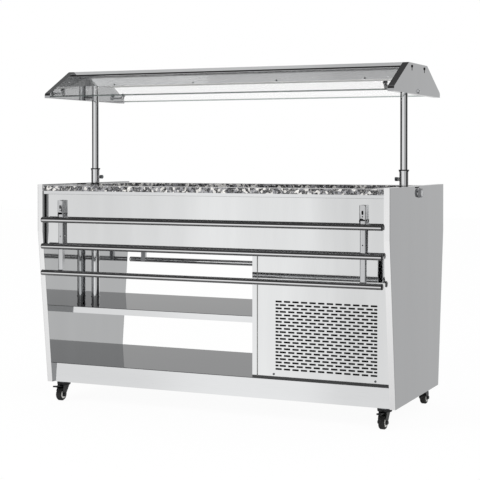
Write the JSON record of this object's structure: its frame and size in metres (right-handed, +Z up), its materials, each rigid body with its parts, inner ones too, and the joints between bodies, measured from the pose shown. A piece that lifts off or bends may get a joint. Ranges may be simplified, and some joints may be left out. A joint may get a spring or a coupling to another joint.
{
  "type": "mobile refrigerated salad bar",
  "caption": "Stainless salad bar on castors with a granite worktop round a cold well, fold-up tray slides on both long sides and a glazed canopy on two height-adjustable posts.",
  "frame": {"origin": "on the floor, under the middle of the cabinet", "axes": "+X along the length towards the machine compartment, +Y to the rear long side, +Z up; -Y is the side in the picture"},
  "size_m": [1.4598, 0.7346, 1.313],
  "materials": {
    "satin_steel": "satin stainless sheet",
    "polished_steel": "polished stainless",
    "zinc_steel": "plated",
    "granite": "polished speckled granite",
    "opal_plastic": "frosted",
    "lamp_glass": "white coated",
    "clear_glass": "clear toughened",
    "aluminium": "bare fins",
    "black_iron": "black paint",
    "black_metal": "black coating",
    "black_rubber": "solid rubber",
    "black_plastic": "moulded"
  },
  "bodies": {
    "cabinet": {"end_panel_left": "satin_steel", "end_panel_right": "satin_steel", "end_liner_left": "polished_steel", "end_liner_right": "polished_steel", "stone_top": "granite", "top_rim": "polished_steel", "fascia_front": "satin_steel", "fascia_rear": "satin_steel", "well_tub": "polished_steel", "well_casing": "satin_steel", "drain_pipe": "polished_steel", "mid_shelf": "satin_steel", "base_deck": "satin_steel", "base_rails": "satin_steel", "partition_wall": "satin_steel", "grille_front": "satin_steel", "grille_rear": "satin_steel", "panel_screws": "zinc_steel", "sleeve_left": "polished_steel", "sleeve_right": "polished_steel", "compressor": "black_iron", "condenser": "aluminium", "fan_shroud": "black_metal", "thermostat_bezel": "black_plastic", "cable_gland": "black_plastic", "castor_plates": "zinc_steel", "slide_brackets": "polished_steel"},
    "canopy": {"post_left": "polished_steel", "post_right": "polished_steel", "canopy_end_left": "satin_steel", "canopy_end_right": "satin_steel", "canopy_roof": "satin_steel", "canopy_rails": "polished_steel", "lamp_housing": "polished_steel", "lamp_cover": "opal_plastic", "lamp_tube": "lamp_glass", "glass_front": "clear_glass", "glass_rear": "clear_glass", "glass_clamps": "black_metal", "canopy_fixings": "zinc_steel"},
    "fan": {"fan_rotor": "aluminium"},
    "thermostat": {"thermostat_knob": "black_plastic"},
    "screw_left": {"thumbscrew_left": "zinc_steel"},
    "screw_right": {"thumbscrew_right": "zinc_steel"},
    "front_slide": {"arms_front": "polished_steel", "tubes_front": "polished_steel", "plugs_front": "black_plastic"},
    "rear_slide": {"arms_rear": "polished_steel", "tubes_rear": "polished_steel", "plugs_rear": "black_plastic"},
    "fork_fl": {"castor_fork_fl": "black_metal"},
    "wheel_fl": {"castor_wheel_fl": "black_rubber"},
    "fork_fr": {"castor_fork_fr": "black_metal"},
    "wheel_fr": {"castor_wheel_fr": "black_rubber"},
    "fork_rl": {"castor_fork_rl": "black_metal"},
    "wheel_rl": {"castor_wheel_rl": "black_rubber"},
    "fork_rr": {"castor_fork_rr": "black_metal"},
    "wheel_rr": {"castor_wheel_rr": "black_rubber"},
    "pedal_left": {"brake_pedal_left": "black_metal"},
    "pedal_right": {"brake_pedal_right": "black_metal"}
  },
  "joints": [
    {"name": "canopy_lift", "type": "slide", "parent": "cabinet", "child": "canopy", "axis": [0, 0, 1], "range_m": [-0.18, 0.1]},
    {"name": "thumbscrew_left_turn", "type": "hinge", "parent": "cabinet", "child": "screw_left", "pos_m": [-0.664, 0, 0.885], "axis": [1, 0, 0], "range_deg": [0, 360]},
    {"name": "thumbscrew_right_turn", "type": "hinge", "parent": "cabinet", "child": "screw_right", "pos_m": [0.664, 0, 0.885], "axis": [-1, 0, 0], "range_deg": [0, 360]},
    {"name": "front_slide_fold", "type": "hinge", "parent": "cabinet", "child": "front_slide", "pos_m": [0, -0.3378, 0.743], "axis": [-1, 0, 0], "range_deg": [0, 90]},
    {"name": "rear_slide_fold", "type": "hinge", "parent": "cabinet", "child": "rear_slide", "pos_m": [0, 0.3378, 0.743], "axis": [1, 0, 0], "range_deg": [0, 90]},
    {"name": "thermostat_turn", "type": "hinge", "parent": "cabinet", "child": "thermostat", "pos_m": [0.72, 0.009, 0.834], "axis": [1, 0, 0], "range_deg": [0, 270]},
    {"name": "fan_spin", "type": "hinge", "parent": "cabinet", "child": "fan", "pos_m": [0.32, -0.135, 0.275], "axis": [0, 1, 0], "continuous": true},
    {"name": "castor_swivel_fl", "type": "hinge", "parent": "cabinet", "child": "fork_fl", "pos_m": [-0.668, -0.242, 0.066], "axis": [0, 0, 1], "continuous": true},
    {"name": "wheel_spin_fl", "type": "hinge", "parent": "fork_fl", "child": "wheel_fl", "pos_m": [-0.668, -0.262, 0.025], "axis": [1, 0, 0], "continuous": true},
    {"name": "castor_swivel_fr", "type": "hinge", "parent": "cabinet", "child": "fork_fr", "pos_m": [0.668, -0.242, 0.066], "axis": [0, 0, 1], "continuous": true},
    {"name": "wheel_spin_fr", "type": "hinge", "parent": "fork_fr", "child": "wheel_fr", "pos_m": [0.668, -0.262, 0.025], "axis": [1, 0, 0], "continuous": true},
    {"name": "castor_swivel_rl", "type": "hinge", "parent": "cabinet", "child": "fork_rl", "pos_m": [-0.668, 0.242, 0.066], "axis": [0, 0, 1], "continuous": true},
    {"name": "wheel_spin_rl", "type": "hinge", "parent": "fork_rl", "child": "wheel_rl", "pos_m": [-0.668, 0.262, 0.025], "axis": [1, 0, 0], "continuous": true},
    {"name": "castor_swivel_rr", "type": "hinge", "parent": "cabinet", "child": "fork_rr", "pos_m": [0.668, 0.242, 0.066], "axis": [0, 0, 1], "continuous": true},
    {"name": "wheel_spin_rr", "type": "hinge", "parent": "fork_rr", "child": "wheel_rr", "pos_m": [0.668, 0.262, 0.025], "axis": [1, 0, 0], "continuous": true},
    {"name": "brake_left_press", "type": "hinge", "parent": "fork_fl", "child": "pedal_left", "pos_m": [-0.668, -0.254, 0.055], "axis": [1, 0, 0], "range_deg": [0, 18]},
    {"name": "brake_right_press", "type": "hinge", "parent": "fork_fr", "child": "pedal_right", "pos_m": [0.668, -0.254, 0.055], "axis": [1, 0, 0], "range_deg": [0, 18]}
  ]
}
